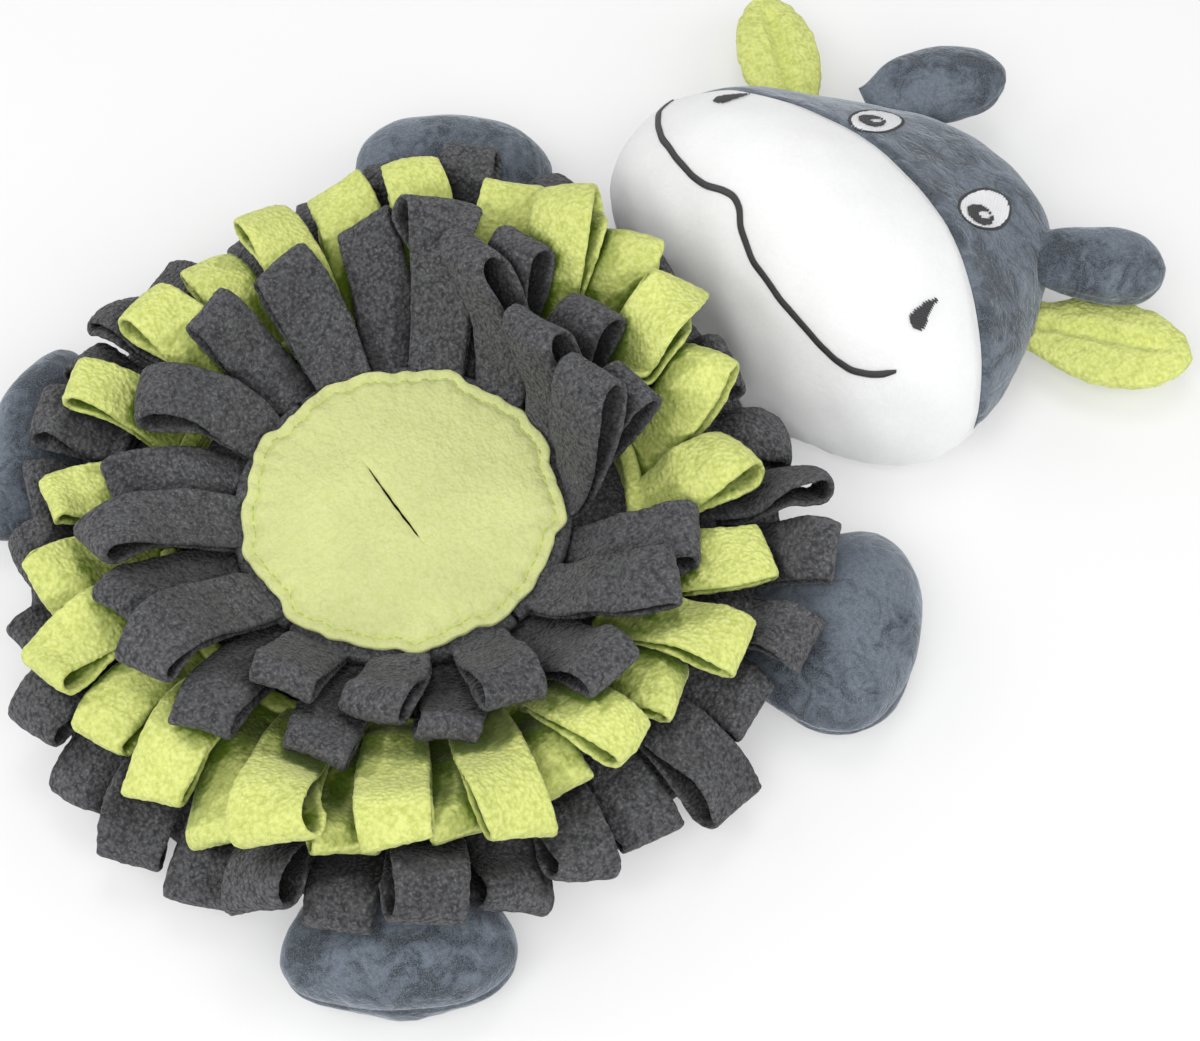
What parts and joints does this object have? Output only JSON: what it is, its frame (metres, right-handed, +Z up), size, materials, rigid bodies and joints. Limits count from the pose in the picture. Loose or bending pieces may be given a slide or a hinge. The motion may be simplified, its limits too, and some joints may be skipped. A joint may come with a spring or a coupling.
{
  "type": "plush snuffle toy",
  "caption": "Stuffed animal toy lying flat: a round body covered in rings of fleece loops around a slit treat disc, with a horned and eared head and four paws.",
  "frame": {"origin": "middle of the body's flat underside, on the floor that the toy lies on", "axes": "+Y from the body to the head, +Z up from the floor, +X to the right as seen from above with the head pointing up the page"},
  "size_m": [0.3319, 0.4813, 0.0968],
  "materials": {
    "charcoal_fleece": "matte fleece, charcoal heather",
    "lime_fleece": "matte fleece, yellow-green",
    "grey_plush": "short soft pile, blue-grey",
    "white_fleece": "smooth brushed cloth, white",
    "side_cloth": "plain woven cloth, dark grey",
    "black_thread": "satin stitched thread, black",
    "white_thread": "satin stitched thread, white",
    "lime_thread": "sewing thread, yellow-green",
    "fibre_fill": "loose fibre filling, off-white"
  },
  "bodies": {
    "body": {"body_base_cover": "side_cloth", "body_stuffing": "fibre_fill", "body_top_cover": "charcoal_fleece", "disc_seam_thread": "lime_thread", "inner_lower_band_1": "charcoal_fleece", "inner_lower_band_2": "charcoal_fleece", "inner_lower_band_3": "charcoal_fleece", "inner_lower_band_4": "charcoal_fleece", "inner_upper_band_1": "charcoal_fleece", "inner_upper_band_2": "charcoal_fleece", "inner_upper_band_3": "charcoal_fleece", "inner_upper_band_4": "charcoal_fleece", "middle_lower_band_1": "lime_fleece", "middle_lower_band_2": "lime_fleece", "middle_lower_band_3": "lime_fleece", "middle_lower_band_4": "lime_fleece", "middle_upper_band_1": "lime_fleece", "middle_upper_band_2": "lime_fleece", "middle_upper_band_3": "lime_fleece", "middle_upper_band_4": "lime_fleece", "outer_lower_band_1": "charcoal_fleece", "outer_lower_band_2": "charcoal_fleece", "outer_lower_band_3": "charcoal_fleece", "outer_lower_band_4": "charcoal_fleece", "outer_upper_band_1": "charcoal_fleece", "outer_upper_band_2": "charcoal_fleece", "outer_upper_band_3": "charcoal_fleece", "outer_upper_band_4": "charcoal_fleece", "treat_disc": "lime_fleece"},
    "head": {"crown_cover": "grey_plush", "eye_left_outline": "black_thread", "eye_left_pupil": "black_thread", "eye_left_white": "white_thread", "eye_right_outline": "black_thread", "eye_right_pupil": "black_thread", "eye_right_white": "white_thread", "head_back_cover": "grey_plush", "head_stuffing": "fibre_fill", "mouth_thread": "black_thread", "muzzle_cover": "white_fleece", "nostril_left": "black_thread", "nostril_right": "black_thread"},
    "paw_front_right": {"paw_front_right_cover": "grey_plush", "paw_front_right_stuffing": "fibre_fill"},
    "paw_front_left": {"paw_front_left_cover": "grey_plush", "paw_front_left_stuffing": "fibre_fill"},
    "paw_rear_left": {"paw_rear_left_cover": "grey_plush", "paw_rear_left_stuffing": "fibre_fill"},
    "paw_rear_right": {"paw_rear_right_cover": "grey_plush", "paw_rear_right_stuffing": "fibre_fill"},
    "horn_right": {"horn_right_cover": "grey_plush", "horn_right_stuffing": "fibre_fill"},
    "horn_left": {"horn_left_cover": "grey_plush", "horn_left_stuffing": "fibre_fill"},
    "ear_right": {"ear_right_back": "lime_fleece", "ear_right_front": "lime_fleece"},
    "ear_left": {"ear_left_back": "lime_fleece", "ear_left_front": "lime_fleece"}
  },
  "joints": [
    {"name": "neck_joint", "type": "hinge", "parent": "body", "child": "head", "pos_m": [0, 0.131, 0], "axis": [-1, 0, 0], "range_deg": [0, 60]},
    {"name": "paw_front_right_joint", "type": "hinge", "parent": "body", "child": "paw_front_right", "pos_m": [0.0966, 0.08398, 0], "axis": [-0.6561, 0.7547, 0], "range_deg": [0, 60]},
    {"name": "paw_front_left_joint", "type": "hinge", "parent": "body", "child": "paw_front_left", "pos_m": [-0.09733, 0.08313, 0], "axis": [-0.6494, -0.7604, 0], "range_deg": [0, 60]},
    {"name": "paw_rear_left_joint", "type": "hinge", "parent": "body", "child": "paw_rear_left", "pos_m": [-0.10223, -0.07703, 0], "axis": [0.6018, -0.7986, 0], "range_deg": [0, 60]},
    {"name": "paw_rear_right_joint", "type": "hinge", "parent": "body", "child": "paw_rear_right", "pos_m": [0.10485, -0.07342, 0], "axis": [0.5736, 0.8191, 0], "range_deg": [0, 60]},
    {"name": "horn_right_joint", "type": "hinge", "parent": "head", "child": "horn_right", "pos_m": [0.05237, 0.26375, 0.03397], "axis": [-0.7489, 0.6626, 0], "range_deg": [-10, 3], "stiffness_Nm_per_rad": 0.4},
    {"name": "horn_left_joint", "type": "hinge", "parent": "head", "child": "horn_left", "pos_m": [-0.03875, 0.26873, 0.03397], "axis": [-0.8726, -0.4883, 0], "range_deg": [-10, 3], "stiffness_Nm_per_rad": 0.4},
    {"name": "ear_right_joint", "type": "hinge", "parent": "head", "child": "ear_right", "pos_m": [0.0655, 0.25839, 0.01501], "axis": [-0.5686, 0.8226, 0], "range_deg": [-9, 15], "stiffness_Nm_per_rad": 0.15},
    {"name": "ear_left_joint", "type": "hinge", "parent": "head", "child": "ear_left", "pos_m": [-0.06944, 0.24648, 0.01501], "axis": [-0.2966, -0.955, 0], "range_deg": [-9, 15], "stiffness_Nm_per_rad": 0.15}
  ]
}
